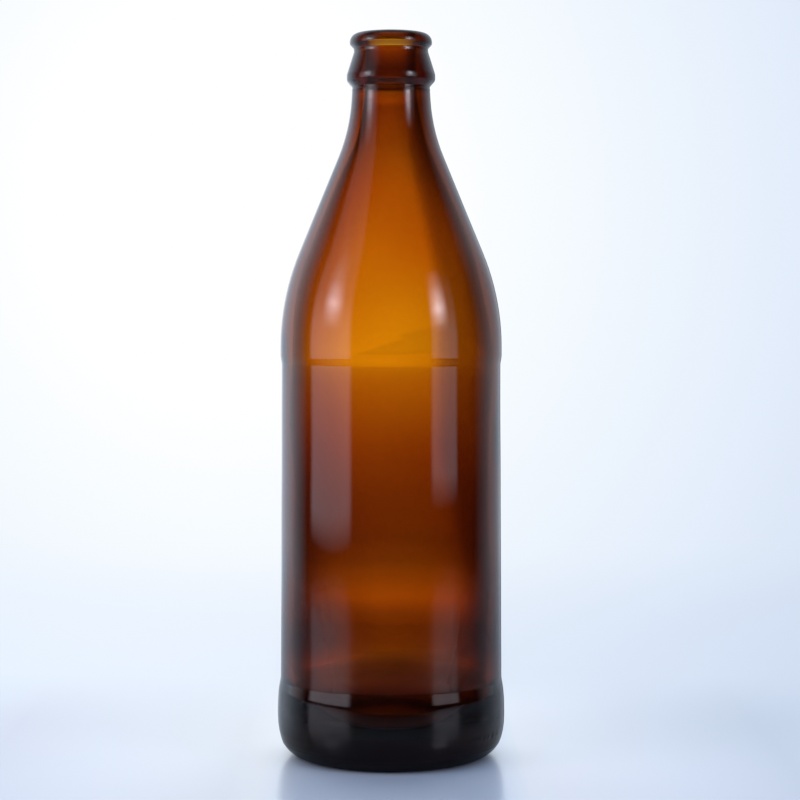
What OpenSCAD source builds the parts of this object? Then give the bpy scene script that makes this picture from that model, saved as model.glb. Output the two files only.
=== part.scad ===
// Long-neck beverage bottle with a crown finish, blown from one gather of amber glass.
// Every length is in millimetres. The bottle stands on z = 0 and its axis is the Z axis.
// The wall is one closed outline of straight lines and tangent arcs, turned about that axis.

/* [Body] */
// Height from the table to the sealing face of the lip
bottle_h = 234.3; // [226:0.1:250]
// Diameter of the heel band, the widest part of the bottle
heel_d = 74.2; // [73:0.1:77]
// Height up to which the heel band keeps its full width
heel_band_h = 18.2; // [16:0.1:20]
// Height over which the heel band eases in to its upper edge
heel_ease_h = 4; // [3:0.1:5]
// How far the heel band has drawn in at its upper edge
heel_edge_in = 0.4; // [0.1:0.05:0.5]
// Height of the step from the upper edge of the heel to the label panel
heel_step_h = 3.1; // [2.5:0.1:5]
// Diameter of the label panel at its foot
panel_foot_d = 72.2; // [71:0.1:72.6]
// Diameter of the label panel at its upper edge
panel_top_d = 71.1; // [70:0.1:71.5]
// Height of the upper edge of the label panel
panel_top_h = 127.6; // [115:0.1:131]
// Height of the ledge between the label panel and the shoulder
shoulder_step_h = 2.3; // [1.5:0.1:3.5]
// Diameter of the shoulder above its ledge
shoulder_d = 71.9; // [71.7:0.1:72.8]
// Height at which the shoulder's upright line meets the line of the cone
shoulder_h = 148.9; // [146:0.1:156]
// Diameter of the neck at its root, where the cone's line meets it
neck_root_d = 26.8; // [26:0.1:29]
// Diameter of the neck right under the crown finish
neck_d = 25; // [24.6:0.1:25.8]
// Length of the neck from its root to the crown finish
neck_l = 13.8; // [11:0.1:18]

/* [Rounding of the body] */
// Radius between the bearing ring and the heel
heel_corner_r = 9; // [3:0.1:9.4]
// Radius of the heel's swelling side
heel_side_r = 30; // [20:1:50]
// Lean of the heel below its swelling, in degrees from upright
heel_lean = 16; // [10:0.1:20]
// Height of the corner that the heel's swelling side rounds
heel_side_h = 9.5; // [8:0.1:11]
// Radius where the heel band starts to ease in
heel_band_r = 60; // [20:1:80]
// Radius of the upper edge of the heel band
heel_edge_r = 6; // [2:1:12]
// Radius of the hollow at the foot of the label panel
panel_foot_r = 4; // [2:1:10]
// Radius of both curves of the shoulder ledge
shoulder_step_r = 6; // [2:1:10]
// Radius of the shoulder
shoulder_r = 79; // [50:1:82]
// Radius of the curve from the cone into the neck
neck_r = 58; // [30:1:68]

/* [Crown finish] */
// Diameter of the lip that a crown closure grips
lip_d = 26.6; // [26.3:0.1:26.9]
// Height of the lip from its lower corner to the sealing face
lip_h = 3.6; // [3.4:0.1:4.2]
// Radius of the lip's outer shoulder
lip_r = 2.9; // [2:0.1:3]
// Radius of the lip's inner edge
lip_bore_r = 0.9; // [0.5:0.1:1.2]
// Height of the slope under the lip
lip_under_h = 1.4; // [1:0.1:1.6]
// Diameter of the locking groove under the lip
groove_d = 24; // [23.4:0.1:24.6]
// Height of the locking groove
groove_h = 1.2; // [0.9:0.1:1.6]
// Height of the flare from the groove to the reinforcing ring
flare_h = 7.2; // [6:0.1:8]
// Diameter of the reinforcing ring
ring_d = 28.6; // [28.2:0.1:29.4]
// Height of the reinforcing ring's upright face
ring_h = 1.9; // [1.6:0.1:3]
// Height of the slope under the reinforcing ring
ring_under_h = 2; // [1.5:0.1:2.5]
// Radius of the reinforcing ring's upper edge
ring_top_r = 3; // [1:0.1:4]
// Radius of the reinforcing ring's lower edge
ring_foot_r = 1.4; // [0.8:0.1:2]
// Radius of the hollows of the finish, in the groove and under the ring
finish_hollow_r = 0.9; // [0.5:0.1:1.4]

/* [Glass walls] */
// Diameter of the mouth bore
bore_d = 16.6; // [15.6:0.1:17.6]
// Length of the mouth bore from the sealing face
bore_l = 19; // [17:0.5:24]
// Wall at the root of the neck, measured across the axis
neck_wall = 3.4; // [2.6:0.1:4.2]
// Wall of the shoulder, measured across the axis
shoulder_wall = 3.3; // [2.4:0.1:4.2]
// Wall at the upper edge of the label panel
panel_wall = 3.1; // [2.4:0.1:4.2]
// Wall at the foot of the label panel
foot_wall = 4.4; // [3:0.1:5]
// Thickness of the floor at its centre
floor_t = 5.6; // [4:0.1:8]
// Height that the floor falls from its centre to its rim
floor_fall = 3; // [1:0.1:3.6]
// Radius of the inner corner between the wall and the floor
floor_corner_r = 13; // [8:1:18]
// Radius of the curve from the bore into the neck
bore_blend_r = 30; // [15:1:40]

/* [Base] */
// Inner diameter of the bearing ring
bearing_d = 54; // [50:0.5:56]
// Radius of the bearing ring's inner edge
bearing_r = 2; // [1:0.1:3]
// Width of the slope that rises from the bearing ring to the push-up
push_rim_w = 4; // [3:0.1:6]
// Height of the rim of the push-up
push_rim_h = 2; // [1.4:0.1:2.4]
// Height of the push-up at its centre
push_h = 4.2; // [3:0.1:6]
// Diameter of the level centre of the push-up and of the floor over it
push_centre_d = 20; // [10:1:26]
// Radius of the dome over the push-up
push_r = 45; // [20:1:60]

/* [Stippling under the base] */
// Number of grip notches around the bearing ring
notch_count = 60; // [40:4:80]
// Width of one notch
notch_w = 1.4; // [0.8:0.1:1.8]
// Depth of one notch
notch_t = 0.35; // [0.2:0.05:0.5]
// Distance of a notch's inner end from the inner edge of the bearing ring
notch_inset = 1; // [0.6:0.1:3]

/* [Hidden] */

// Degrees of turn that one straight facet line of an arc stands for
arc_step = 3;
// Facets around the axis; the wall's surfaces are still true cones and cylinders
$fn = 180;
// Share of a straight line that the arcs at its two ends may use up
arc_share = 0.98;

neck_top_z = bottle_h - lip_h - lip_under_h - groove_h - flare_h - ring_h - ring_under_h;
neck_root_z = neck_top_z - neck_l;
ring_foot_z = neck_top_z + ring_under_h;
ring_top_z = ring_foot_z + ring_h;
groove_foot_z = ring_top_z + flare_h;
groove_top_z = groove_foot_z + groove_h;
lip_foot_z = groove_top_z + lip_under_h;
shoulder_foot_z = panel_top_h + shoulder_step_h;
heel_edge_z = heel_band_h + heel_ease_h;
panel_foot_z = heel_edge_z + heel_step_h;
heel_foot_r = heel_d / 2 - heel_side_h * tan(heel_lean);
floor_z = push_h + floor_t;

// Outside of the glass from the centre of the push-up to the sealing face, as [r, z, radius]
outside = [
    [0, push_h, 0],
    [push_centre_d / 2, push_h, push_r],
    [bearing_d / 2 - push_rim_w, push_rim_h, bearing_r],
    [bearing_d / 2, 0, bearing_r],
    [heel_foot_r, 0, heel_corner_r],
    [heel_d / 2, heel_side_h, heel_side_r],
    [heel_d / 2, heel_band_h, heel_band_r],
    [heel_d / 2 - heel_edge_in, heel_edge_z, heel_edge_r],
    [panel_foot_d / 2, panel_foot_z, panel_foot_r],
    [panel_top_d / 2, panel_top_h, shoulder_step_r],
    [shoulder_d / 2, shoulder_foot_z, shoulder_step_r],
    [shoulder_d / 2, shoulder_h, shoulder_r],
    [neck_root_d / 2, neck_root_z, neck_r],
    [neck_d / 2, neck_top_z, finish_hollow_r],
    [ring_d / 2, ring_foot_z, ring_foot_r],
    [ring_d / 2, ring_top_z, ring_top_r],
    [groove_d / 2, groove_foot_z, finish_hollow_r],
    [groove_d / 2, groove_top_z, finish_hollow_r],
    [lip_d / 2, lip_foot_z, finish_hollow_r],
    [lip_d / 2, bottle_h, lip_r],
];

// Inside of the glass from the sealing face down to the centre of the floor, as [r, z, radius]
inside = [
    [bore_d / 2, bottle_h, lip_bore_r],
    [bore_d / 2, bottle_h - bore_l, bore_blend_r],
    [neck_root_d / 2 - neck_wall, neck_root_z, neck_r],
    [shoulder_d / 2 - shoulder_wall, shoulder_h, shoulder_r],
    [shoulder_d / 2 - shoulder_wall, shoulder_foot_z, shoulder_step_r],
    [panel_top_d / 2 - panel_wall, panel_top_h, shoulder_step_r],
    [panel_foot_d / 2 - foot_wall, floor_z - floor_fall, floor_corner_r],
    [push_centre_d / 2, floor_z, push_r],
    [0, floor_z, 0],
];

// The place of a corner without its radius
function spot(corner) = [corner[0], corner[1]];

// Heading of the line from corner i to the next, in degrees
function heading(path, i) =
    let (d = spot(path[i + 1]) - spot(path[i])) atan2(d[1], d[0]);

// Turn at corner i, in degrees from -180 to 180, positive to the left
function turn(path, i) =
    let (t = heading(path, i) - heading(path, i - 1)) t > 180 ? t - 360 : t < -180 ? t + 360 : t;

// Length of the line from corner i to the next
function line_l(path, i) = norm(spot(path[i + 1]) - spot(path[i]));

// How far from corner i its arc starts, before it is fitted to its lines
function reach(path, i) =
    i == 0 || i == len(path) - 1 ? 0 : path[i][2] * tan(abs(turn(path, i)) / 2);

// Share of its full radius that the arc at corner i can have between its neighbours
function fit(path, i) = min(
    1,
    arc_share * line_l(path, i - 1) / (reach(path, i - 1) + reach(path, i)),
    arc_share * line_l(path, i) / (reach(path, i) + reach(path, i + 1))
);

// Points of the tangent arc that rounds corner i, or the corner itself at an end of the path
function arc(path, i) =
    reach(path, i) == 0 ? [spot(path[i])] :
    let (
        from = heading(path, i - 1),
        bend = turn(path, i),
        side = sign(bend),
        r = path[i][2] * fit(path, i),
        start = spot(path[i]) - reach(path, i) * fit(path, i) * [cos(from), sin(from)],
        centre = start + side * r * [-sin(from), cos(from)],
        count = ceil(abs(bend) / arc_step)
    )
    [for (k = [0 : count]) let (a = from - side * 90 + bend * k / count) centre + r * [cos(a), sin(a)]];

// Outline with every corner rounded
function rounded(path) = [for (i = [0 : len(path) - 1]) each arc(path, i)];

// The glass wall, with its mouth bore, its hollow and its push-up
module glass_wall() {
    rotate_extrude()
        polygon(rounded(concat(outside, inside)));
}

// One grip notch: a level groove that runs out over the corner of the heel
module notch() {
    scoop_r = (notch_w * notch_w / 4 + notch_t * notch_t) / (2 * notch_t);
    translate([bearing_d / 2 + notch_inset, 0, notch_t - scoop_r])
        rotate([0, 90, 0])
            cylinder(r = scoop_r, h = heel_foot_r - bearing_d / 2);
}

module glass_bottle() {
    color("saddlebrown")
        difference() {
            glass_wall();
            for (k = [0 : notch_count - 1])
                rotate([0, 0, 360 * k / notch_count])
                    notch();
        }
}

glass_bottle();
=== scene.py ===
"""Amber glass bottle with a crown finish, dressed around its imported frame.

The bottle is one piece of blown glass. Its visible surface is a lathe form worked out with numpy: an outline
of straight lines and tangent arcs, turned about the Z axis, with the marks that the mould leaves on it.
All lengths are in millimetres until a mesh is made, and in metres from there on.
"""

import logging
import math
from dataclasses import dataclass
from enum import Enum

import bpy
import numpy as np
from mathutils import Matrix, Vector


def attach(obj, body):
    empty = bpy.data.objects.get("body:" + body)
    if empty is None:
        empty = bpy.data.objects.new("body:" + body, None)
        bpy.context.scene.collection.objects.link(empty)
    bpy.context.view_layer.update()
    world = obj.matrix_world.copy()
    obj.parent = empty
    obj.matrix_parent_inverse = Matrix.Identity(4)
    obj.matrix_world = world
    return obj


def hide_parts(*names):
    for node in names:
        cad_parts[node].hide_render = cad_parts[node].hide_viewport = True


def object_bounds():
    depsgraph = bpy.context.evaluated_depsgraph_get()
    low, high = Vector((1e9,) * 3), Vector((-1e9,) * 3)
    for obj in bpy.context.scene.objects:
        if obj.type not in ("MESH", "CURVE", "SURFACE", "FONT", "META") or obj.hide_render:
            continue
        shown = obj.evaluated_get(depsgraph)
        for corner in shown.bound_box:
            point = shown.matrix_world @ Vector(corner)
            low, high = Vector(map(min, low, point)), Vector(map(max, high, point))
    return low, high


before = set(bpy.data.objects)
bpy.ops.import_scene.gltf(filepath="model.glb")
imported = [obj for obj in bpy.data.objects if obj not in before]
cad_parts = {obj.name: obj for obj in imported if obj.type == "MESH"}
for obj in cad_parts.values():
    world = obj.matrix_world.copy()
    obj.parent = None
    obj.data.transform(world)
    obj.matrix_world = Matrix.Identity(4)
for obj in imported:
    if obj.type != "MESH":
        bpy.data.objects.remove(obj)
CAD_LOW, CAD_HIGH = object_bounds()

LOG = logging.getLogger("bottle")
MM = 0.001
FULL_TURN = 2.0 * math.pi

# Share of a straight line that the arcs at its two ends may use up
ARC_SHARE = 0.98
# Heights that differ by less than this count as level
LEVEL_STEP = 1e-4
# Stands in for a length of nothing where one divides by it
TINY = 1e-9
# How much narrower the dressed heel is than the CAD's, so that its low dots and waves stay inside the CAD box
BOX_CLEARANCE = 0.06
# How often light may cross or leave a surface: through the glass, and through the clear rim of the floor
GLASS_BOUNCES = 24
CLEAR_BOUNCES = 16

# A linear colour, the stops of a ramp of colours and of plain numbers, and what a Math node takes in
Colour = tuple[float, float, float]
ColourStops = tuple[tuple[float, Colour], ...]
GreyStops = tuple[tuple[float, float], ...]
Value = float | bpy.types.NodeSocket


class Node(Enum):
    """Names that the frame and its record use."""

    BOTTLE = "glass_bottle"
    BODY = "root"
    GLASS_SLOT = "amber_glass"


@dataclass(frozen=True)
class Corner:
    """One corner of a lathe outline: its distance from the axis, its height and the radius that rounds it."""

    r: float
    z: float
    rounding: float = 0.0


def rounded_outline(corners: list[Corner], turn_step: float, longest: float) -> np.ndarray:
    """Rounds the corners of an outline with tangent arcs.

    At a corner where the outline turns by t, an arc of radius R starts R * tan(|t| / 2) before the corner
    and is swept round its centre in equal steps. An arc that would overrun its neighbour gets a smaller
    radius. No step of an arc or of a straight stretch is longer than allowed.

    Args:
        corners: The corners in order. The two ends stay sharp.
        turn_step: Largest turn between two points of an arc, in degrees.
        longest: Longest step along the outline, in millimetres.

    Returns:
        The points of the outline, one row each, as (r, z) in millimetres.
    """
    spots = np.array([(c.r, c.z) for c in corners])
    steps = np.diff(spots, axis=0)
    lengths = np.hypot(steps[:, 0], steps[:, 1])
    headings = np.arctan2(steps[:, 1], steps[:, 0])
    turns = (np.diff(headings) + math.pi) % FULL_TURN - math.pi
    radii = np.array([c.rounding for c in corners])
    reach = np.zeros(len(corners))
    reach[1:-1] = radii[1:-1] * np.tan(np.abs(turns) / 2.0)
    room = lengths / np.maximum(reach[:-1] + reach[1:], TINY)
    fitted = np.ones(len(corners))
    fitted[1:-1] = np.minimum(1.0, ARC_SHARE * np.minimum(room[:-1], room[1:]))
    points = [spots[:1]]
    for i in range(1, len(corners) - 1):
        if reach[i] == 0.0:
            points.append(spots[i : i + 1])
            continue
        heading, turn = headings[i - 1], turns[i - 1]
        side = math.copysign(1.0, turn)
        radius = radii[i] * fitted[i]
        start = spots[i] - reach[i] * fitted[i] * np.array([math.cos(heading), math.sin(heading)])
        centre = start + side * radius * np.array([-math.sin(heading), math.cos(heading)])
        count = math.ceil(max(abs(math.degrees(turn)) / turn_step, radius * abs(turn) / longest))
        angles = heading - side * math.pi / 2.0 + turn * np.linspace(0.0, 1.0, count + 1)
        points.append(centre + radius * np.stack([np.cos(angles), np.sin(angles)], axis=1))
    points.append(spots[-1:])
    return divided(np.concatenate(points), longest)


def divided(points: np.ndarray, longest: float) -> np.ndarray:
    """Divides each step of a path that is longer than allowed into equal shorter ones.

    Args:
        points: The path's points, one row each.
        longest: Longest step allowed.

    Returns:
        The path with the added points.
    """
    lengths = np.linalg.norm(np.diff(points, axis=0), axis=1)
    counts = np.maximum(1, np.ceil(lengths / longest)).astype(int)
    walked = np.concatenate([[0.0], np.cumsum(counts)])
    stations = np.arange(walked[-1] + 1)
    return np.stack([np.interp(stations, walked, points[:, k]) for k in range(points.shape[1])], axis=1)


def with_levels(points: np.ndarray, levels: list[float]) -> np.ndarray:
    """Adds points at given heights to the part of an outline that climbs from its lowest point.

    Args:
        points: The outline's points as (r, z). Past the lowest one, the height never falls.
        levels: The heights.

    Returns:
        The outline with a point at each height.
    """
    foot = len(points) - 1 - int(np.argmin(points[::-1, 1]))
    climb = points[foot:]
    heights = np.unique(np.round(np.concatenate([climb[:-1, 1], levels]), 2))
    heights = heights[heights <= climb[-1, 1]]
    crest = climb[1:][climb[1:, 1] >= climb[-1, 1] - LEVEL_STEP]
    rising = np.stack([np.interp(heights, climb[:, 1], climb[:, 0]), heights], axis=1)
    return np.concatenate([points[:foot], rising[:-1], crest])


def bell(distance: np.ndarray, half_width: float) -> np.ndarray:
    """A smooth bump of height 1: the square of (1 - (distance / half_width) squared), and 0 outside."""
    return np.clip(1.0 - (distance / half_width) ** 2, 0.0, None) ** 2


def wrapped(angle: np.ndarray) -> np.ndarray:
    """An angle brought into the range from -pi to pi."""
    return (angle + math.pi) % FULL_TURN - math.pi


def lathe_mesh(name: str, rings: np.ndarray, low_pole: np.ndarray, high_pole: np.ndarray) -> bpy.types.Mesh:
    """Makes a closed mesh from rings of points and a pole at each end.

    Ring k's point j joins ring k + 1's point j, and the last point of a ring joins its first. The order of
    the corners is round the ring and then along the outline, so a face looks out of the glass.

    Args:
        name: Name of the mesh.
        rings: Points with shape (rings, columns, 3), in metres.
        low_pole: The point that closes the first ring.
        high_pole: The point that closes the last ring.

    Returns:
        The mesh, shaded smooth.
    """
    ring_count, columns = rings.shape[:2]
    points = np.concatenate([rings.reshape(-1, 3), low_pole[None], high_pole[None]])
    index = np.arange(ring_count * columns).reshape(ring_count, columns)
    after = np.roll(index, -1, axis=1)
    quads = np.stack([index[:-1], after[:-1], after[1:], index[1:]], axis=-1).reshape(-1, 4)
    low, high = ring_count * columns, ring_count * columns + 1
    low_fan = np.stack([after[0], index[0], np.full(columns, low)], axis=-1)
    high_fan = np.stack([index[-1], after[-1], np.full(columns, high)], axis=-1)
    loops = np.concatenate([quads.ravel(), low_fan.ravel(), high_fan.ravel()])
    sizes = np.concatenate([np.full(len(quads), 4), np.full(2 * columns, 3)])
    starts = np.concatenate([[0], np.cumsum(sizes)[:-1]])
    mesh = bpy.data.meshes.new(name)
    mesh.vertices.add(len(points))
    mesh.vertices.foreach_set("co", points.astype(np.float32).ravel())
    mesh.loops.add(len(loops))
    mesh.loops.foreach_set("vertex_index", loops.astype(np.int32))
    mesh.polygons.add(len(sizes))
    mesh.polygons.foreach_set("loop_start", starts.astype(np.int32))
    mesh.polygons.foreach_set("use_smooth", np.ones(len(sizes), bool))
    mesh.update(calc_edges=True)
    mesh.validate()
    return mesh


@dataclass(frozen=True)
class Span:
    """A range that a value runs through, and what comes out: low at its start and high at its end."""

    start: float
    end: float
    low: float = 0.0
    high: float = 1.0


class Shader:
    """A short way to write a node tree: adds nodes, sets their inputs and joins them."""

    def __init__(self, owner: bpy.types.Material | bpy.types.World | bpy.types.Light) -> None:
        """Empties the owner's node tree and keeps it.

        Args:
            owner: The material, world or lamp whose nodes are written.
        """
        owner.use_nodes = True
        self.tree = owner.node_tree
        self.tree.nodes.clear()

    def node(self, kind: str, inputs: dict | None = None, **settings: str) -> bpy.types.Node:
        """Adds one node.

        Args:
            kind: The node's type, without its ShaderNode prefix.
            inputs: Values or sockets for its inputs, by name or by number.
            settings: Properties of the node itself.

        Returns:
            The new node.
        """
        made = self.tree.nodes.new("ShaderNode" + kind)
        for key, value in settings.items():
            setattr(made, key, value)
        for key, value in (inputs or {}).items():
            socket = made.inputs[key]
            if isinstance(value, bpy.types.NodeSocket):
                self.tree.links.new(value, socket)
            else:
                socket.default_value = value
        return made

    def ramp(self, factor: bpy.types.NodeSocket, stops: ColourStops) -> bpy.types.NodeSocket:
        """Adds a colour ramp.

        Args:
            factor: The socket that drives it.
            stops: Pairs of a position from 0 to 1 and a linear colour.

        Returns:
            The ramp's colour output.
        """
        made = self.node("ValToRGB", {"Fac": factor})
        elements = made.color_ramp.elements
        while len(elements) < len(stops):
            elements.new(1.0)
        for element, (position, colour) in zip(elements, stops, strict=True):
            element.position = position
            element.color = (*colour, 1.0)
        return made.outputs["Color"]

    def grey_ramp(self, factor: bpy.types.NodeSocket, stops: GreyStops) -> bpy.types.NodeSocket:
        """Adds a ramp of plain numbers.

        Args:
            factor: The socket that drives it.
            stops: Pairs of a position from 0 to 1 and the number there.

        Returns:
            The ramp's output, which is grey.
        """
        return self.ramp(factor, tuple((position, (level,) * 3) for position, level in stops))

    def product(self, one: bpy.types.NodeSocket, other: bpy.types.NodeSocket) -> bpy.types.NodeSocket:
        """Multiplies two colours and returns the result's socket."""
        inputs = {0: 1.0, 6: one, 7: other}
        return self.node("Mix", inputs, data_type="RGBA", blend_type="MULTIPLY").outputs[2]

    def maths(self, operation: str, *values: Value) -> bpy.types.NodeSocket:
        """Adds one Math node and returns its output.

        Args:
            operation: The node's operation.
            values: Its inputs in order, numbers or sockets.

        Returns:
            The result's socket.
        """
        return self.node("Math", dict(enumerate(values)), operation=operation).outputs[0]

    def vector(
        self, operation: str, output: str, *values: tuple | bpy.types.NodeSocket
    ) -> bpy.types.NodeSocket:
        """Adds one Vector Math node and returns its output.

        Args:
            operation: The node's operation.
            output: Name of the output that holds the result.
            values: Its inputs in order, vectors or sockets.

        Returns:
            The result's socket.
        """
        return self.node("VectorMath", dict(enumerate(values)), operation=operation).outputs[output]

    def line(self, value: bpy.types.NodeSocket, span: Span) -> bpy.types.NodeSocket:
        """Carries a value through a span in a straight line, and holds it at both ends."""
        return self.mapped(value, span, "LINEAR")

    def slope(self, value: bpy.types.NodeSocket, span: Span) -> bpy.types.NodeSocket:
        """Carries a value through a span with a smooth step, and holds it at both ends."""
        return self.mapped(value, span, "SMOOTHSTEP")

    def window(self, value: bpy.types.NodeSocket, rise: Span, fall: Span) -> bpy.types.NodeSocket:
        """Multiplies two smooth steps of a value, so that it shows between them."""
        return self.maths("MULTIPLY", self.slope(value, rise), self.slope(value, fall))

    def mapped(self, value: bpy.types.NodeSocket, span: Span, course: str) -> bpy.types.NodeSocket:
        """Adds one Map Range node.

        Args:
            value: The socket that runs through the span.
            span: Where the value starts and ends, and what comes out there.
            course: The node's kind of interpolation.

        Returns:
            The result's socket.
        """
        inputs = {0: value, 1: span.start, 2: span.end, 3: span.low, 4: span.high}
        return self.node("MapRange", inputs, interpolation_type=course).outputs[0]

    def noise(self, place: bpy.types.NodeSocket, scale: float, detail: float) -> bpy.types.NodeSocket:
        """Adds a noise texture and returns its level, which wanders about one half."""
        return self.node("TexNoise", {"Vector": place, "Scale": scale, "Detail": detail}).outputs["Fac"]


@dataclass(frozen=True)
class AmberGlass:
    """Finish of amber container glass: clear, fire-polished, and coloured through its own thickness.

    The tint says how much of each colour one pass of the surface lets through at a height, from the foot to
    the lip: the glass's own amber, with painted light and shade in its bright and dark bands. The rim is
    painted shade where the glass turns away from the eye, and the edge adds to that turn up the neck. The
    side shade is painted shade from the left to the right, and the drift moves its stops to the right at
    some heights. Worn says how much rougher the glass is up the neck.
    """

    absorption_per_m: Colour = (60.0, 235.0, 900.0)
    ior: float = 1.52
    # The glass's own amber by height, with painted light and shade in its bright and dark bands
    tint_and_painted_light: ColourStops = (
        (0.000, (0.05, 0.04, 0.04)),
        (0.070, (0.42, 0.30, 0.28)),
        (0.086, (0.34, 0.31, 0.33)),
        (0.100, (0.62, 0.56, 0.50)),
        (0.106, (1.00, 0.95, 0.86)),
        (0.122, (1.00, 0.92, 0.80)),
        (0.138, (0.76, 0.58, 0.52)),
        (0.150, (0.53, 0.40, 0.38)),
        (0.160, (0.41, 0.30, 0.30)),
        (0.178, (0.48, 0.36, 0.31)),
        (0.204, (0.92, 0.71, 0.34)),
        (0.243, (0.77, 0.64, 0.31)),
        (0.282, (0.49, 0.37, 0.26)),
        (0.309, (0.51, 0.35, 0.26)),
        (0.345, (0.51, 0.34, 0.25)),
        (0.420, (0.62, 0.42, 0.26)),
        (0.525, (0.86, 0.74, 0.42)),
        (0.560, (1.00, 1.00, 0.50)),
        (0.640, (0.91, 0.84, 0.50)),
        (0.700, (0.87, 0.73, 0.44)),
        (0.790, (0.74, 0.56, 0.34)),
        (0.852, (0.59, 0.44, 0.35)),
        (0.900, (0.58, 0.44, 0.41)),
        (0.910, (0.61, 0.48, 0.52)),
        (0.919, (1.00, 0.90, 0.72)),
        (0.927, (0.40, 0.38, 0.46)),
        (0.945, (0.37, 0.36, 0.50)),
        (0.960, (0.56, 0.49, 0.55)),
        (0.975, (0.73, 0.56, 0.51)),
        (0.983, (1.00, 0.87, 0.44)),
        (0.989, (0.60, 0.54, 0.54)),
        (1.000, (0.50, 0.50, 0.65)),
    )
    # Painted shade at the edges: the glass darker where it turns away from the eye
    rim: ColourStops = (
        (0.00, (1.00, 1.00, 1.00)),
        (0.10, (0.96, 0.94, 0.92)),
        (0.20, (0.86, 0.80, 0.76)),
        (0.30, (0.82, 0.71, 0.63)),
        (0.48, (0.46, 0.38, 0.36)),
        (0.62, (0.16, 0.14, 0.16)),
        (0.80, (0.03, 0.03, 0.05)),
    )
    # Painted shade from side to side: the glass darker towards its left and right
    painted_side_shade: ColourStops = (
        (0.00, (0.78, 0.78, 0.83)),
        (0.06, (0.88, 0.87, 0.89)),
        (0.13, (0.92, 0.91, 0.92)),
        (0.20, (0.95, 0.94, 0.94)),
        (0.30, (1.00, 1.00, 1.00)),
        (0.71, (1.00, 1.00, 1.00)),
        (0.78, (0.68, 0.64, 0.64)),
        (0.84, (0.69, 0.66, 0.67)),
        (0.90, (0.78, 0.75, 0.76)),
    )
    # Moves the stops of the painted side shade to the right at some heights
    side_shade_drift: GreyStops = (
        (0.11, 0.0),
        (0.14, 0.15),
        (0.17, 0.16),
        (0.27, 0.13),
        (0.42, 0.0),
        (0.80, 0.0),
        (0.87, 0.06),
    )
    # Painted shade up the neck: added to the turn from the eye, so the painted edge shade grows there
    edge: GreyStops = ((0.85, 0.0), (0.88, 0.08), (0.91, 0.18), (1.0, 0.20))
    worn: GreyStops = ((0.80, 0.0), (0.90, 0.10), (0.93, 0.12), (0.96, 0.17))
    cloud_scale: float = 16.0
    cloud_shift: float = 0.03
    cord_stretch: tuple[float, float, float] = (1.0, 1.0, 0.22)
    cord_scale: float = 95.0
    cord_height: float = 0.35
    ripple_scale: float = 34.0
    bump_strength: float = 0.06
    bump_m: float = 0.0006
    patch_scale: float = 55.0
    patch_detail: float = 5.0
    patches: Span = Span(0.50, 0.80, 0.012, 0.06)

    def material(self, height_m: float) -> bpy.types.Material:
        """Builds the glass material.

        Args:
            height_m: Height of the bottle, which the tint's gradient follows.

        Returns:
            The material.
        """
        made = bpy.data.materials.new("amber_glass")
        shader = Shader(made)
        place = shader.node("TexCoord").outputs["Object"]
        share = self.share_of_height(shader, place, height_m)
        glass = shader.node(
            "BsdfPrincipled",
            {
                "Base Color": self.colour(shader, place, share),
                "Roughness": self.handled(shader, place, share),
                "IOR": self.ior,
                "Transmission Weight": 1.0,
                "Normal": self.cords(shader, place),
            },
        )
        densest = max(self.absorption_per_m)
        kept = tuple(1.0 - absorbed / densest for absorbed in self.absorption_per_m)
        body = shader.node("VolumeAbsorption", {"Color": (*kept, 1.0), "Density": densest})
        shader.node("OutputMaterial", {"Surface": glass.outputs["BSDF"], "Volume": body.outputs["Volume"]})
        return made

    def share_of_height(
        self, shader: Shader, place: bpy.types.NodeSocket, height_m: float
    ) -> bpy.types.NodeSocket:
        """Height as a share of the bottle's, moved up and down a little by a soft cloud.

        Args:
            shader: The material's tree.
            place: Object coordinates, in metres.
            height_m: Height of the bottle.

        Returns:
            z / height + (cloud - 1/2) * shift.
        """
        height = shader.node("SeparateXYZ", {0: place}).outputs["Z"]
        cloud = shader.maths("SUBTRACT", shader.noise(place, self.cloud_scale, 1.0), 0.5)
        shift = shader.maths("MULTIPLY", cloud, self.cloud_shift)
        return shader.maths("ADD", shader.maths("DIVIDE", height, height_m), shift)

    def colour(
        self, shader: Shader, place: bpy.types.NodeSocket, share: bpy.types.NodeSocket
    ) -> bpy.types.NodeSocket:
        """Colour that the surface lets through: the tint with its painted light and shade, times the painted
        shade at the rim and the painted shade from side to side.

        The side shade runs over 1/2 + x / (2 r), where r is the distance from the axis, less the drift.

        Args:
            shader: The material's tree.
            place: Object coordinates, in metres.
            share: Height as a share of the bottle's.

        Returns:
            The colour.
        """
        facing = shader.node("LayerWeight", {"Blend": 0.5}).outputs["Facing"]
        turned = shader.maths("ADD", facing, shader.grey_ramp(share, self.edge))
        across = shader.node("SeparateXYZ", {0: place}).outputs["X"]
        level = shader.vector("MULTIPLY", "Vector", place, (1.0, 1.0, 0.0))
        radius = shader.vector("LENGTH", "Value", level)
        sideways = shader.maths("MULTIPLY_ADD", shader.maths("DIVIDE", across, radius), 0.5, 0.5)
        sideways = shader.maths("SUBTRACT", sideways, shader.grey_ramp(share, self.side_shade_drift))
        # The tint with its painted light, times the painted rim shade, times the painted side shade
        tint_and_rim_shade = shader.product(shader.ramp(share, self.tint_and_painted_light), shader.ramp(turned, self.rim))
        return shader.product(tint_and_rim_shade, shader.ramp(sideways, self.painted_side_shade))

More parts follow.
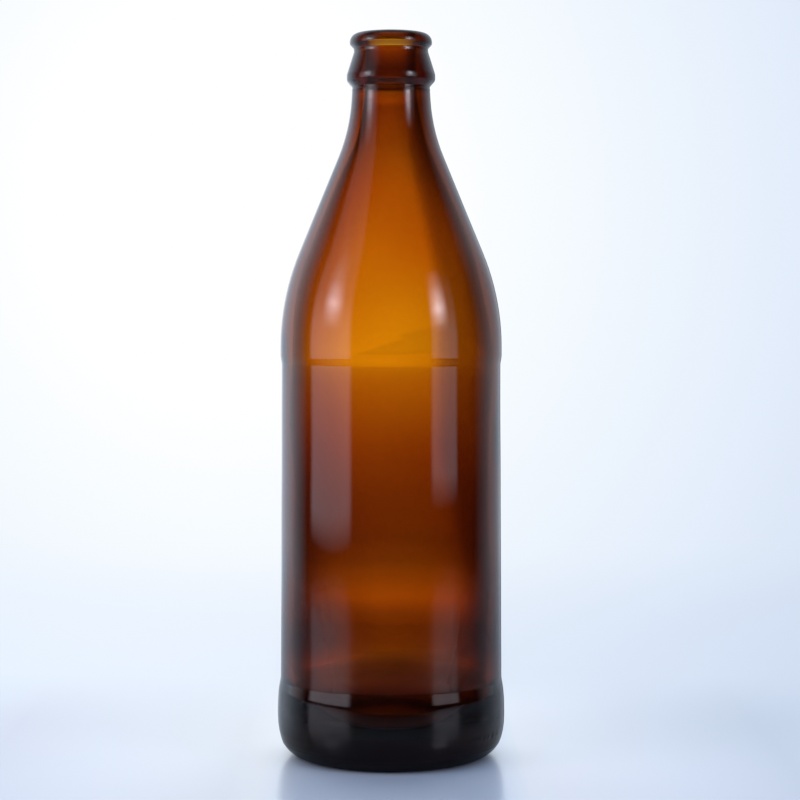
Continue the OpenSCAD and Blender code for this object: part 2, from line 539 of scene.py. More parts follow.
    def cords(self, shader: Shader, place: bpy.types.NodeSocket) -> bpy.types.NodeSocket:
        """Faint upright cords and ripples of the blown surface, as a bump.

        Args:
            shader: The material's tree.
            place: Object coordinates, in metres.

        Returns:
            The bumped normal.
        """
        upright = shader.vector("MULTIPLY", "Vector", place, self.cord_stretch)
        cord = shader.maths("MULTIPLY", shader.noise(upright, self.cord_scale, 1.0), self.cord_height)
        height = shader.maths("ADD", cord, shader.noise(place, self.ripple_scale, 0.0))
        bump = {"Height": height, "Strength": self.bump_strength, "Distance": self.bump_m}
        return shader.node("Bump", bump).outputs["Normal"]

    def handled(
        self, shader: Shader, place: bpy.types.NodeSocket, share: bpy.types.NodeSocket
    ) -> bpy.types.NodeSocket:
        """Roughness of handled glass: polished, with faint cloudy patches, and duller up the neck.

        Args:
            shader: The material's tree.
            place: Object coordinates, in metres.
            share: Height as a share of the bottle's.

        Returns:
            The roughness.
        """
        patch = shader.noise(place, self.patch_scale, self.patch_detail)
        return shader.maths("ADD", shader.line(patch, self.patches), shader.grey_ramp(share, self.worn))


@dataclass(frozen=True)
class MouldMarks:
    """What the blow mould leaves on the outside of the glass. Lengths in millimetres, angles in degrees."""

    seam_at: tuple[float, float] = (172.0, -8.0)
    seam_w: float = 0.32
    seam_h: float = 0.11
    seam_foot: float = 4.3
    seam_top: float = 230.0
    seam_fade: float = 2.0
    seam_columns: tuple[float, ...] = (-1.5, -1.1, -0.75, -0.45, -0.2, 0.0, 0.2, 0.45, 0.75, 1.1, 1.5)
    ring_seams: tuple[float, ...] = (4.3, 216.0)
    ring_seam_w: float = 0.40
    ring_seam_h: float = 0.09
    dot_at: tuple[float, ...] = (-46.0, -43.0, -40.0, -35.0, -32.0, -27.0, -24.0, -21.0)
    dot_w: float = 1.15
    dot_h: float = 0.24
    dot_z: float = 9.0
    notch_count: int = 60
    notch_w: float = 1.4
    notch_t: float = 0.35
    notch_from: float = 28.0

    def levels(self) -> list[float]:
        """Lists the heights at which the outline needs a point: across each level seam and the row of dots.

        Returns:
            The heights.
        """
        across = np.linspace(-1.0, 1.0, 5)
        rows = [z + self.ring_seam_w * across for z in self.ring_seams] + [self.dot_z + self.dot_w * across]
        return np.concatenate(rows).tolist()

    def columns(self) -> np.ndarray:
        """Angles at which a ring needs a point: close together over each upright seam, and at each dot."""
        seams = np.radians(self.seam_at)[:, None] + np.radians(self.seam_columns)[None, :]
        return np.concatenate([seams.ravel(), np.radians(self.dot_at)])

    def swell(self, r: np.ndarray, z: np.ndarray, angle: np.ndarray) -> np.ndarray:
        """Works out how far the marks stand out of the glass.

        Each upright seam is a bell over the distance round the glass, r times the angle, faded out at the
        seam's foot and top. Each level seam is a bell over the height, and each dot a bell over both.

        Args:
            r: Distance of the points from the axis.
            z: Height of the points.
            angle: Angle of the points about the axis, in radians.

        Returns:
            The outward distance at each point.
        """
        out = np.zeros(np.broadcast(r, z, angle).shape)
        over_foot = np.clip((z - self.seam_foot) / self.seam_fade, 0.0, 1.0)
        under_top = np.clip((self.seam_top - z) / self.seam_fade, 0.0, 1.0)
        shown = over_foot * under_top
        for at in np.radians(self.seam_at):
            out += self.seam_h * shown * bell(r * wrapped(angle - at), self.seam_w)
        for level in self.ring_seams:
            out += self.ring_seam_h * bell(z - level, self.ring_seam_w) * (z > 0.0)
        for at in np.radians(self.dot_at):
            round_it = r * wrapped(angle - at)
            out += self.dot_h * bell(np.hypot(round_it, z - self.dot_z), self.dot_w)
        return out

    def notch_height(self, r: np.ndarray, angle: np.ndarray) -> np.ndarray:
        """Works out the height of the grip notches under the base.

        Across a notch, at a distance d from its middle, the height is t - R + the root of (R squared - d
        squared), with the notch's depth t and the radius R that its width and its depth give.

        Args:
            r: Distance of the points from the axis.
            angle: Angle of the points about the axis, in radians.

        Returns:
            The height at each point, and 0 nearer to the axis than the notches.
        """
        pitch = FULL_TURN / self.notch_count
        offset = r * ((angle + pitch / 2.0) % pitch - pitch / 2.0)
        scoop_r = (self.notch_w**2 / 4.0 + self.notch_t**2) / (2.0 * self.notch_t)
        scoop = self.notch_t - scoop_r + np.sqrt(np.clip(scoop_r**2 - offset**2, 0.0, None))
        return np.where(r > self.notch_from, scoop, 0.0)


@dataclass(frozen=True)
class Waves:
    """Slow unevenness of a blown surface: a sum of sines over the angle and the height."""

    reach: float
    turns: tuple[int, ...]
    lengths: tuple[float, ...]
    phases: tuple[float, ...]
    foot: float
    top: float
    fade: float = 14.0

    def offset(self, z: np.ndarray, angle: np.ndarray) -> np.ndarray:
        """Works out how far the surface is off its lathe form.

        It is the mean of sin(turns * angle + 2 pi z / length + phase) over the waves, times the reach, and it
        fades out at the foot and the top with a smooth step.

        Args:
            z: Height of the points.
            angle: Angle of the points about the axis, in radians.

        Returns:
            The distance along r at each point.
        """
        total = np.zeros(np.broadcast(z, angle).shape)
        for turns, length, phase in zip(self.turns, self.lengths, self.phases, strict=True):
            total += np.sin(turns * angle + FULL_TURN * z / length + phase)
        over_foot = np.clip((z - self.foot) / self.fade, 0.0, 1.0)
        under_top = np.clip((self.top - z) / self.fade, 0.0, 1.0)
        shown = over_foot * under_top
        return self.reach * total * shown**2 * (3.0 - 2.0 * shown) / len(self.turns)


@dataclass(frozen=True)
class Roundings:
    """Radii that round the corners of the bottle's outline, in millimetres."""

    dome: float = 45.0
    bearing: float = 2.0
    heel_corner: float = 9.0
    heel_side: float = 30.0
    heel_band: float = 60.0
    heel_edge: float = 6.0
    panel_foot: float = 4.0
    ledge: float = 6.0
    shoulder: float = 79.0
    neck: float = 58.0
    hollow: float = 0.9
    ring_foot: float = 1.4
    ring_top: float = 3.0
    lip: float = 2.9
    lip_bore: float = 0.9
    bore_blend: float = 30.0
    floor_corner: float = 13.0


@dataclass
class GlassBottle:
    """The bottle: one closed wall of glass, from the push-up round the outside to the lip and down inside.

    Lengths are in millimetres. A name that ends in _d is a diameter, in _r a distance from the axis, in _h a
    height over the table and in _l a length along the axis.
    """

    height: float = round(CAD_HIGH[2] / MM, 2)
    heel_d: float = round(2.0 * CAD_HIGH[0] / MM, 2) - BOX_CLEARANCE
    heel_foot_r: float = 34.38
    heel_side_h: float = 9.5
    heel_band_h: float = 18.2
    heel_ease_l: float = 4.0
    heel_edge_in: float = 0.4
    heel_step_l: float = 3.1
    panel_foot_d: float = 72.2
    panel_top_d: float = 71.1
    panel_top_h: float = 127.6
    shoulder_step_l: float = 2.3
    shoulder_d: float = 71.9
    shoulder_h: float = 148.9
    neck_root_d: float = 26.8
    neck_d: float = 25.0
    neck_l: float = 13.8
    ring_d: float = 28.6
    ring_l: float = 1.9
    ring_under_l: float = 2.0
    flare_l: float = 7.2
    groove_d: float = 24.0
    groove_l: float = 1.2
    lip_d: float = 26.6
    lip_l: float = 3.6
    lip_under_l: float = 1.4
    lip_crest_r: float = 9.9
    bore_d: float = 16.6
    bore_l: float = 19.0
    neck_wall: float = 3.4
    shoulder_wall: float = 3.3
    panel_wall: float = 3.1
    foot_wall: float = 4.4
    floor_t: float = 5.6
    floor_fall: float = 3.0
    push_h: float = 4.2
    push_rim_h: float = 2.0
    push_rim_r: float = 23.0
    push_centre_r: float = 10.0
    bearing_r: float = 27.0
    rounding: Roundings = Roundings()
    columns: int = 300
    turn_step: float = 6.0
    longest_outside: float = 3.0
    longest_inside: float = 4.0
    marks: MouldMarks = MouldMarks()
    outer_waves: Waves = Waves(
        0.05, (2, 3, 5, 1), (61.0, -47.0, 88.0, 33.0), (0.3, 1.9, 4.0, 2.2), foot=26.0, top=205.0
    )
    inner_waves: Waves = Waves(
        0.34, (1, 2, 3, 5), (83.0, -52.0, 38.0, -67.0), (0.9, 3.1, 5.2, 1.4), foot=12.0, top=208.0
    )
    finish: AmberGlass = AmberGlass()

    @property
    def heel_edge_h(self) -> float:
        """Height of the upper edge of the heel band."""
        return self.heel_band_h + self.heel_ease_l

    @property
    def shoulder_foot_h(self) -> float:
        """Height of the foot of the shoulder, over the ledge that parts it from the panel."""
        return self.panel_top_h + self.shoulder_step_l

    @property
    def lip_foot_h(self) -> float:
        """Height of the lower corner of the lip."""
        return self.height - self.lip_l

    @property
    def groove_top_h(self) -> float:
        """Height of the upper edge of the locking groove."""
        return self.lip_foot_h - self.lip_under_l

    @property
    def groove_foot_h(self) -> float:
        """Height of the lower edge of the locking groove."""
        return self.groove_top_h - self.groove_l

    @property
    def ring_top_h(self) -> float:
        """Height of the upper edge of the reinforcing ring."""
        return self.groove_foot_h - self.flare_l

    @property
    def ring_foot_h(self) -> float:
        """Height of the lower edge of the reinforcing ring."""
        return self.ring_top_h - self.ring_l

    @property
    def neck_top_h(self) -> float:
        """Height at which the neck meets the slope under the reinforcing ring."""
        return self.ring_foot_h - self.ring_under_l

    @property
    def neck_root_h(self) -> float:
        """Height at which the line of the neck meets the line of the cone."""
        return self.neck_top_h - self.neck_l

    @property
    def floor_h(self) -> float:
        """Height of the floor at its centre."""
        return self.push_h + self.floor_t

    def outside(self) -> list[Corner]:
        """Lists the corners of the outer surface, from the centre of the push-up to the crest of the lip.

        Returns:
            The corners.
        """
        by = self.rounding
        heel_r, panel_foot_r, panel_top_r = self.heel_d / 2, self.panel_foot_d / 2, self.panel_top_d / 2
        shoulder_r, groove_r, ring_r = self.shoulder_d / 2, self.groove_d / 2, self.ring_d / 2
        return [
            Corner(0.0, self.push_h),
            Corner(self.push_centre_r, self.push_h, by.dome),
            Corner(self.push_rim_r, self.push_rim_h, by.bearing),
            Corner(self.bearing_r, 0.0, by.bearing),
            Corner(self.heel_foot_r, 0.0, by.heel_corner),
            Corner(heel_r, self.heel_side_h, by.heel_side),
            Corner(heel_r, self.heel_band_h, by.heel_band),
            Corner(heel_r - self.heel_edge_in, self.heel_edge_h, by.heel_edge),
            Corner(panel_foot_r, self.heel_edge_h + self.heel_step_l, by.panel_foot),
            Corner(panel_top_r, self.panel_top_h, by.ledge),
            Corner(shoulder_r, self.shoulder_foot_h, by.ledge),
            Corner(shoulder_r, self.shoulder_h, by.shoulder),
            Corner(self.neck_root_d / 2, self.neck_root_h, by.neck),
            Corner(self.neck_d / 2, self.neck_top_h, by.hollow),
            Corner(ring_r, self.ring_foot_h, by.ring_foot),
            Corner(ring_r, self.ring_top_h, by.ring_top),
            Corner(groove_r, self.groove_foot_h, by.hollow),
            Corner(groove_r, self.groove_top_h, by.hollow),
            Corner(self.lip_d / 2, self.lip_foot_h, by.hollow),
            Corner(self.lip_d / 2, self.height, by.lip),
            Corner(self.lip_crest_r, self.height),
        ]

    def inside(self) -> list[Corner]:
        """Lists the corners of the inner surface, from the crest of the lip down to the centre of the floor.

        Returns:
            The corners.
        """
        by = self.rounding
        bore_r, shoulder_r = self.bore_d / 2, self.shoulder_d / 2 - self.shoulder_wall
        return [
            Corner(self.lip_crest_r, self.height),
            Corner(bore_r, self.height, by.lip_bore),
            Corner(bore_r, self.height - self.bore_l, by.bore_blend),
            Corner(self.neck_root_d / 2 - self.neck_wall, self.neck_root_h, by.neck),
            Corner(shoulder_r, self.shoulder_h, by.shoulder),
            Corner(shoulder_r, self.shoulder_foot_h, by.ledge),
            Corner(self.panel_top_d / 2 - self.panel_wall, self.panel_top_h, by.ledge),
            Corner(self.panel_foot_d / 2 - self.foot_wall, self.floor_h - self.floor_fall, by.floor_corner),
            Corner(self.push_centre_r, self.floor_h, by.dome),
            Corner(0.0, self.floor_h),
        ]

    def build(self) -> bpy.types.Object:
        """Turns the outline about the Z axis: a point at (r, z) and angle a stands at (r cos a, r sin a, z).

        Before that, the mould marks and the outer waves move the outside's points along r, the inner waves
        move the inside's, and the notches lift what stands on the table.

        Returns:
            The bottle's object, at the origin.
        """
        outer = rounded_outline(self.outside(), self.turn_step, self.longest_outside)
        outer = with_levels(outer, self.marks.levels())
        inner = rounded_outline(self.inside(), self.turn_step, self.longest_inside)
        even = np.linspace(-math.pi, math.pi, self.columns, endpoint=False)
        angle = np.unique(np.round(np.concatenate([even, wrapped(self.marks.columns())]), 5))[None, :]
        r, z = outer[1:, 0][:, None], outer[1:, 1][:, None]
        outer_r = r + self.marks.swell(r, z, angle) + self.outer_waves.offset(z, angle)
        outer_z = np.maximum(z + 0.0 * angle, self.marks.notch_height(r, angle))
        r, z = inner[1:-1, 0][:, None], inner[1:-1, 1][:, None]
        inner_r = r + self.inner_waves.offset(z, angle)
        rings_r = np.concatenate([outer_r, inner_r])
        rings_z = np.concatenate([outer_z, z + 0.0 * angle])
        rings = np.stack([rings_r * np.cos(angle), rings_r * np.sin(angle), rings_z], axis=-1) * MM
        low = np.array([0.0, 0.0, self.push_h]) * MM
        high = np.array([0.0, 0.0, self.floor_h]) * MM
        mesh = lathe_mesh("blown_bottle", rings, low, high)
        piece = bpy.data.objects.new("blown_bottle", mesh)
        bpy.context.scene.collection.objects.link(piece)
        return piece

    def dress(self, piece: bpy.types.Object) -> None:
        """Gives the piece its finish and its body, and hides the CAD node that it stands for.

        Args:
            piece: The bottle's object.
        """
        piece.data.materials.append(self.finish.material(self.height * MM))
        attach(piece, Node.BODY.value)
        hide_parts(Node.BOTTLE.value)


@dataclass(frozen=True)
class Viewpoint:
    """The camera: a long lens, level with the upper body and tipped down a little."""

    distance_mm: float = 700.0
    height_mm: float = 147.0
    tip_down_deg: float = 2.558
    turn_deg: float = 0.24
    focal_px: float = 2151.6
    frame_px: float = 800.0
    sensor_mm: float = 36.0
    clip_m: tuple[float, float] = (0.01, 50.0)

    @property
    def eye_m(self) -> Vector:
        """Place of the camera, in metres."""
        return Vector((0.0, -self.distance_mm, self.height_mm)) * MM

    def build(self) -> bpy.types.Object:
        """Makes the camera and hands it to the scene.

        Returns:
            The camera's object.
        """
        data = bpy.data.cameras.new("camera")
        data.sensor_width = self.sensor_mm
        data.lens = self.sensor_mm * self.focal_px / self.frame_px
        data.clip_start, data.clip_end = self.clip_m
        camera = bpy.data.objects.new("camera", data)
        camera.location = self.eye_m
        camera.rotation_euler = (math.radians(90.0 - self.tip_down_deg), 0.0, -math.radians(self.turn_deg))
        bpy.context.scene.collection.objects.link(camera)
        bpy.context.scene.camera = camera
        return camera


@dataclass(frozen=True)
class SoftBox:
    """A soft lamp that stands upright by the bottle and faces its axis.

    Its glow fades over a share of its width at both sides, and follows its levels from its foot to its top.
    """

    name: str
    azimuth_deg: float
    distance_m: float
    width_m: float
    foot_m: float
    top_m: float
    radiance: float
    fade: float
    levels: GreyStops
    colour: Colour = (0.92, 0.88, 1.0)

    def build(self) -> bpy.types.Object:
        """Makes the lamp. Its glow is the radiance times the side fade times the level at that height.

        Returns:
            The lamp's object.
        """
        height_m = self.top_m - self.foot_m
        data = bpy.data.lights.new(self.name, "AREA")
        data.shape = "RECTANGLE"
        data.size, data.size_y = self.width_m, height_m
        data.energy = self.radiance * math.pi * self.width_m * height_m
        shader = Shader(data)
        across = shader.node("SeparateXYZ", {0: shader.node("NewGeometry").outputs["Parametric"]}).outputs
        centred = shader.maths("ABSOLUTE", shader.maths("SUBTRACT", across["X"], 0.5))
        inward = shader.maths("SUBTRACT", 0.5, centred)
        side = shader.slope(inward, Span(0.0, self.fade))
        glow = shader.maths("MULTIPLY", side, shader.grey_ramp(across["Y"], self.levels))
        emission = shader.node("Emission", {"Color": (*self.colour, 1.0), "Strength": glow})
        shader.node("OutputLight", {"Surface": emission.outputs[0]})
        lamp = bpy.data.objects.new(self.name, data)
        lamp.visible_transmission = False
        lamp.visible_camera = False
        turn = math.radians(self.azimuth_deg)
        away = Vector((math.sin(turn), -math.cos(turn), 0.0))
        lamp.location = away * self.distance_m + Vector((0.0, 0.0, (self.top_m + self.foot_m) / 2.0))
        lamp.rotation_euler = (math.pi / 2.0, 0.0, turn)
        bpy.context.scene.collection.objects.link(lamp)
        return lamp


# Levels of the lamps' glow, from foot to top: a tall panel on each side, and the bulb that shows through it
LEFT_PANEL = (
    (0.0, 0.0),
    (0.022, 1.0),
    (0.225, 0.9),
    (0.375, 0.45),
    (0.53, 0.30),
    (0.80, 0.24),
    (0.92, 0.12),
    (1.0, 0.0),
)
RIGHT_PANEL = ((0.0, 0.0), (0.035, 1.0), (0.36, 0.9), (0.60, 0.42), (0.85, 0.18), (1.0, 0.0))
LEFT_BULB = (
    (0.0, 0.0),
    (0.065, 0.12),
    (0.17, 0.45),
    (0.28, 1.0),
    (0.36, 0.62),
    (0.54, 0.20),
    (0.74, 0.09),
    (1.0, 0.0),
)
RIGHT_BULB = (
    (0.0, 0.0),
    (0.08, 0.08),
    (0.22, 0.50),
    (0.33, 1.0),
    (0.46, 0.62),
    (0.69, 0.18),
    (0.94, 0.03),
    (1.0, 0.0),
)


@dataclass(frozen=True)
class Backdrop:
    """The pale backdrop, with a glow behind the bottle that fades over an ellipse of angles, in radians."""

    glow: ColourStops = (
        (0.000, (1.00, 1.00, 1.00)),
        (0.117, (1.00, 1.00, 1.00)),
        (0.180, (0.93, 0.97, 1.00)),
        (0.333, (0.77, 0.85, 0.97)),
        (0.470, (0.62, 0.70, 0.85)),
        (1.000, (0.66, 0.73, 0.85)),
    )
    azimuth: float = -0.075
    elevation: float = 0.048
    half_wide: float = 0.260
    half_high: float = 0.279
    widest: float = 3.0

    def colour(self, shader: Shader, direction: bpy.types.NodeSocket) -> bpy.types.NodeSocket:
        """Colour of the backdrop in a direction.

        It runs over the root of (aside squared plus above squared), where aside and above are the angles from
        the glow's centre, each divided by the glow's half angle that way.

        Args:
            shader: The tree that uses the colour.
            direction: The direction, of length 1.

        Returns:
            The colour.
        """
        axes = shader.node("SeparateXYZ", {0: direction}).outputs
        azimuth = shader.maths("ARCTAN2", axes["X"], axes["Y"])
        elevation = shader.maths("ARCSINE", axes["Z"])
        aside = shader.maths("DIVIDE", shader.maths("SUBTRACT", azimuth, self.azimuth), self.half_wide)
        above = shader.maths("DIVIDE", shader.maths("SUBTRACT", elevation, self.elevation), self.half_high)
        above_squared = shader.maths("MULTIPLY", above, above)
        away = shader.maths("SQRT", shader.maths("MULTIPLY_ADD", aside, aside, above_squared))
        return shader.ramp(shader.maths("DIVIDE", away, self.widest), self.glow)


@dataclass(frozen=True)
class Table:
    """The pale glossy table under the bottle, which runs out into the backdrop around it.

    Spans are in metres: over X, over Y, or over the distance from the bottle's axis. The one called grazing
    runs over the share of light that the polish mirrors.
    """

    eye_m: Vector
    backdrop: Backdrop
    edge_r: float = 6.0
    edge_points: int = 96
    cast: ColourStops = (
        (0.000, (0.80, 0.80, 0.84)),
        (0.173, (0.64, 0.64, 0.68)),
        (0.250, (0.58, 0.57, 0.61)),
        (0.315, (0.69, 0.69, 0.70)),
        (0.365, (0.77, 0.76, 0.73)),
        (0.405, (0.82, 0.79, 0.74)),
        (0.423, (0.94, 0.90, 0.82)),
        (0.445, (0.88, 0.94, 0.97)),
        (0.530, (0.82, 0.89, 0.94)),
        (0.562, (0.76, 0.83, 0.89)),
        (0.582, (0.95, 0.92, 0.86)),
        (0.635, (0.84, 0.81, 0.79)),
        (0.682, (0.73, 0.73, 0.73)),
        (0.745, (0.60, 0.62, 0.64)),
        (0.800, (0.66, 0.68, 0.71)),
        (0.865, (0.73, 0.75, 0.79)),
        (1.000, (0.80, 0.82, 0.86)),
    )
    plain: Colour = (0.76, 0.75, 0.74)
    sheen: Colour = (0.94, 0.97, 0.98)
    polish_ior: float = 1.5
    across_cast: Span = Span(-0.26, 0.26)
    behind_cast: Span = Span(0.16, 0.04)
    before_cast: Span = Span(-0.16, -0.08)
    table_front: Span = Span(-0.45, -0.25)
    table_back: Span = Span(0.62, 0.10)
    table_side: Span = Span(0.60, 0.30)
    # Painted shade on the table as the glass mirrors it, toward its front and by the foot, and a painted
    # contact shadow under the heel
    painted_mirror_shade_front: Span = Span(-0.32, -0.05)
    painted_mirror_shade_foot: Span = Span(0.045, 0.080, 0.26, 0.37)
    painted_contact_shadow: Span = Span(0.024, 0.037, 0.40, 1.0)
    rough: Span = Span(-0.08, -0.16, 0.20, 0.36)
    grazing: Span = Span(0.05, 0.40, 0.0, 0.50)
    polished: Span = Span(-0.70, -0.06)
    seen_through: Span = Span(0.0, 0.05)

    def build(self) -> bpy.types.Object:
        """Lays the floor as one face with its points at (r cos a, r sin a, 0), for equal steps of a.

        Returns:
            The floor's object.
        """
        mesh = bpy.data.meshes.new("studio_floor")
        angle = np.linspace(0.0, FULL_TURN, self.edge_points, endpoint=False)
        points = np.stack([np.cos(angle), np.sin(angle), 0.0 * angle], axis=1) * self.edge_r
        mesh.from_pydata(points.tolist(), [], [list(range(len(angle)))])
        mesh.materials.append(self.material())
        floor = bpy.data.objects.new("studio_floor", mesh)
        bpy.context.scene.collection.objects.link(floor)
        return floor

    def material(self) -> bpy.types.Material:
        """Builds the floor's material: the table near the bottle, mixed into what lies beyond it.

        Returns:
            The material.
        """
        made = bpy.data.materials.new("floor")
        shader = Shader(made)
        place = shader.node("TexCoord").outputs["Object"]
        path = shader.node("LightPath").outputs
        across, along, _ = shader.node("SeparateXYZ", {0: place}).outputs
        # Painted shade: the table's colour is dimmed under the heel and where the glass mirrors it
        kept = self.painted_table_shade(shader, place, along, path["Is Glossy Ray"])
        matt = shader.node("BsdfDiffuse", {"Color": shader.product(self.colour(shader, across, along), kept)})
        gloss = shader.node(
            "BsdfGlossy", {"Color": (*self.sheen, 1.0), "Roughness": shader.slope(along, self.rough)}
        )
        near = shader.node(
            "MixShader", {0: self.polish(shader, along), 1: matt.outputs[0], 2: gloss.outputs[0]}
        )
        beyond = self.beyond(shader, place, along, path)
        reach = shader.window(along, self.table_front, self.table_back)
        aside = shader.slope(shader.maths("ABSOLUTE", across), self.table_side)
        reach = shader.maths("MULTIPLY", reach, aside)
        mix = shader.node("MixShader", {0: reach, 1: beyond, 2: near.outputs[0]})
        shader.node("OutputMaterial", {"Surface": mix.outputs[0]})
        made.cycles.emission_sampling = "NONE"
        return made

    def colour(
        self, shader: Shader, across: bpy.types.NodeSocket, along: bpy.types.NodeSocket
    ) -> bpy.types.NodeSocket:
        """Colour of the table: the light and dark streaks that the bottle casts beside it, else plain.

        Args:
            shader: The material's tree.
            across: The place's X.
            along: The place's Y.

        Returns:
            The colour.
        """
        cast = shader.ramp(shader.line(across, self.across_cast), self.cast)
        beside = shader.window(along, self.behind_cast, self.before_cast)
        return shader.node("Mix", {0: beside, 6: (*self.plain, 1.0), 7: cast}, data_type="RGBA").outputs[2]

    def painted_table_shade(
        self,
        shader: Shader,
        place: bpy.types.NodeSocket,
        along: bpy.types.NodeSocket,
        mirrored: bpy.types.NodeSocket,
    ) -> bpy.types.NodeSocket:
        """How much of its colour the table keeps: a painted contact shadow under the heel, and painted
        shade where the glass mirrors it.

        Args:
            shader: The material's tree.
            place: Object coordinates, in metres.
            along: The place's Y.
            mirrored: 1 for a ray that comes from a mirroring surface, and 0 for any other.

        Returns:
            The share that is kept, as a grey.
        """
        radius = shader.vector("LENGTH", "Value", place)
        # Painted shade where the glass mirrors the table's front and foot, then a painted contact shadow
        # under the heel
        front = shader.slope(along, self.painted_mirror_shade_front)
        lit = shader.maths("MULTIPLY", front, shader.slope(radius, self.painted_mirror_shade_foot))
        lit = shader.maths("MULTIPLY_ADD", mirrored, shader.maths("SUBTRACT", lit, 1.0), 1.0)
        lit = shader.maths("MULTIPLY", lit, shader.slope(radius, self.painted_contact_shadow))
        return shader.node("CombineColor", {0: lit, 1: lit, 2: lit}).outputs[0]

    def polish(self, shader: Shader, along: bpy.types.NodeSocket) -> bpy.types.NodeSocket:
        """How glossy the table is: more at a grazing view, and less toward its front.

        Args:
            shader: The material's tree.
            along: The place's Y.

        Returns:
            The share of the gloss.
        """
        grazing = shader.node("Fresnel", {"IOR": self.polish_ior}).outputs[0]
        glossy = shader.line(grazing, self.grazing)
        return shader.maths("MULTIPLY", glossy, shader.slope(along, self.polished))

    def beyond(
        self,
        shader: Shader,
        place: bpy.types.NodeSocket,
        along: bpy.types.NodeSocket,
        path: bpy.types.NodeOutputs,
    ) -> bpy.types.NodeSocket:
        """What lies beyond the table: the backdrop as the eye sees it there, and nothing for other light.

        Args:
            shader: The material's tree.
            place: Object coordinates, in metres.
            along: The place's Y.
            path: Outputs of the Light Path node.

        Returns:
            The shader's socket.
        """
        toward = shader.vector("SUBTRACT", "Vector", place, tuple(self.eye_m))
        toward = shader.vector("NORMALIZE", "Vector", toward)
        open_air = shader.node("Emission", {"Color": self.backdrop.colour(shader, toward)})
        clear = shader.node("BsdfTransparent")
        behind = shader.slope(along, self.seen_through)
        through = shader.maths("MULTIPLY", path["Is Transmission Ray"], behind)
        seen = shader.maths("MAXIMUM", through, path["Is Camera Ray"])
        return shader.node("MixShader", {0: seen, 1: clear.outputs[0], 2: open_air.outputs[0]}).outputs[0]


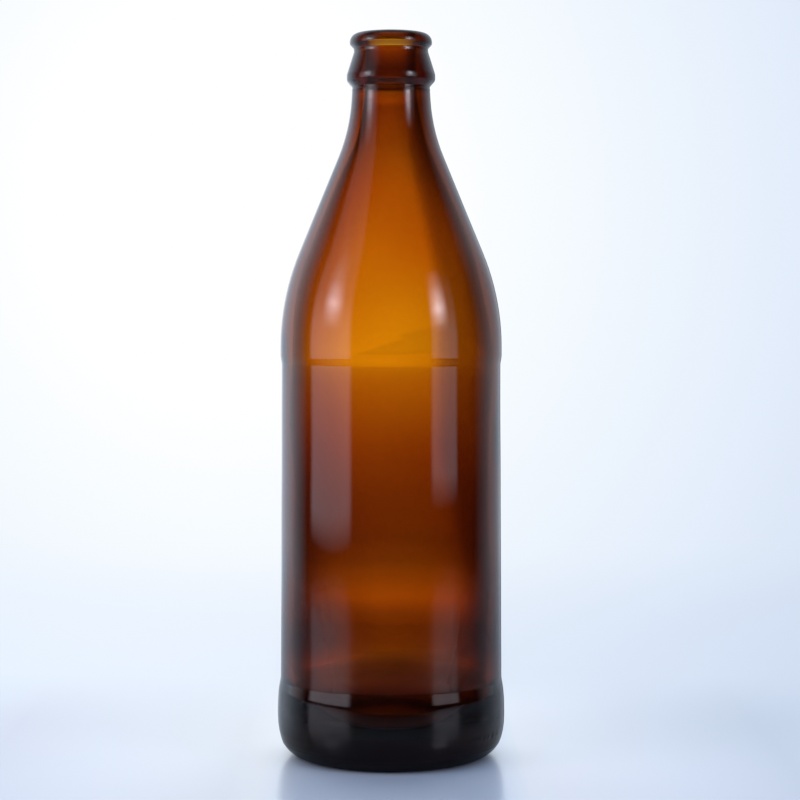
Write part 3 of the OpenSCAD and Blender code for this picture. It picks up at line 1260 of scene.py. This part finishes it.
@dataclass(frozen=True)
class Surround:
    """The room: a pale backdrop with its glow behind the bottle, and a dark room in front of it.

    What is seen directly shows the backdrop's colour fully. What is seen through glass shows less of the
    room's front, and what is mirrored shows the backdrop, a dim ceiling and an almost dark front. Matt
    surfaces get the backdrop's light from behind and a cool light from the front. Each span runs over one
    axis of the direction.
    """

    backdrop: Backdrop
    through: Span = Span(0.30, 0.92, 0.45, 1.0)
    mirrored_back: Span = Span(0.12, 0.62, 0.02, 1.0)
    mirrored_side: Span = Span(-0.7, 0.7, 1.55, 0.75)
    mirrored_ceiling: Span = Span(0.80, 0.96, 0.0, 0.45)
    matt_back: Span = Span(0.3, 0.95, 0.06, 5.6)
    matt_front: Span = Span(0.3, -0.2, 0.0, 0.62)
    front_colour: Colour = (0.40, 0.58, 1.0)

    def build(self) -> bpy.types.World:
        """Writes the world.

        Returns:
            The world.
        """
        world = bpy.data.worlds.new("surround")
        bpy.context.scene.world = world
        shader = Shader(world)
        path = shader.node("LightPath").outputs
        direction = shader.node("TexCoord").outputs["Generated"]
        axes = shader.node("SeparateXYZ", {0: direction}).outputs
        strength = self.strength(shader, axes, path)
        colour = self.backdrop.colour(shader, direction)
        backdrop = shader.node("Background", {"Color": colour, "Strength": strength})
        front = shader.maths("MULTIPLY", path["Is Diffuse Ray"], shader.line(axes["Y"], self.matt_front))
        cool = shader.node("Background", {"Color": (*self.front_colour, 1.0), "Strength": front})
        both = shader.node("AddShader", {0: backdrop.outputs[0], 1: cool.outputs[0]})
        shader.node("OutputWorld", {"Surface": both.outputs[0]})
        return world

    def strength(
        self, shader: Shader, axes: bpy.types.NodeOutputs, path: bpy.types.NodeOutputs
    ) -> bpy.types.NodeSocket:
        """How strongly the backdrop shows in a direction, for each kind of ray.

        Args:
            shader: The world's tree.
            axes: The direction's X, Y and Z.
            path: Outputs of the Light Path node.

        Returns:
            The strength.
        """
        back = shader.line(axes["Y"], self.mirrored_back)
        lit_side = shader.maths("MULTIPLY", back, shader.line(axes["X"], self.mirrored_side))
        mirrored = shader.maths("MAXIMUM", lit_side, shader.line(axes["Z"], self.mirrored_ceiling))
        kinds = (
            shader.maths("MULTIPLY", path["Is Transmission Ray"], shader.line(axes["Y"], self.through)),
            shader.maths("MULTIPLY", path["Is Glossy Ray"], mirrored),
            shader.maths("MULTIPLY", path["Is Diffuse Ray"], shader.line(axes["Y"], self.matt_back)),
        )
        strength = path["Is Camera Ray"]
        for kind in kinds:
            strength = shader.maths("MAXIMUM", strength, kind)
        return strength


@dataclass(frozen=True)
class Studio:
    """The white room: a pale glossy table, a pale surround and soft lamps on both sides in front."""

    view: Viewpoint
    backdrop: Backdrop = Backdrop()
    lamps: tuple[SoftBox, ...] = (
        SoftBox("left_panel", -65.0, 0.62, 0.63, 0.006, 1.05, 1.5, 0.14, LEFT_PANEL),
        SoftBox("right_panel", 56.0, 0.66, 0.40, 0.030, 0.52, 1.15, 0.16, RIGHT_PANEL),
        SoftBox("left_bulb", -63.0, 0.60, 0.32, 0.20, 0.66, 8.0, 0.50, LEFT_BULB),
        SoftBox("right_bulb", 51.0, 0.64, 0.28, 0.20, 0.56, 11.0, 0.50, RIGHT_BULB),
    )

    def build(self) -> None:
        """Makes the lamps, the table and the surround."""
        for lamp in self.lamps:
            lamp.build()
        Table(self.view.eye_m, self.backdrop).build()
        Surround(self.backdrop).build()


def main() -> None:
    """Builds the view, the studio and the bottle in order, and reports each."""
    logging.basicConfig(level=logging.INFO, format="%(name)s: %(message)s")
    scene = bpy.context.scene
    scene.view_settings.view_transform = "Standard"
    scene.cycles.max_bounces = GLASS_BOUNCES
    scene.cycles.transmission_bounces = GLASS_BOUNCES
    scene.cycles.transparent_max_bounces = CLEAR_BOUNCES
    view = Viewpoint()
    view.build()
    LOG.info("camera placed")
    Studio(view).build()
    LOG.info("studio lit")
    bottle = GlassBottle()
    piece = bottle.build()
    bottle.dress(piece)
    LOG.info("%s: %d faces", piece.name, len(piece.data.polygons))


if __name__ == "__main__":
    main()
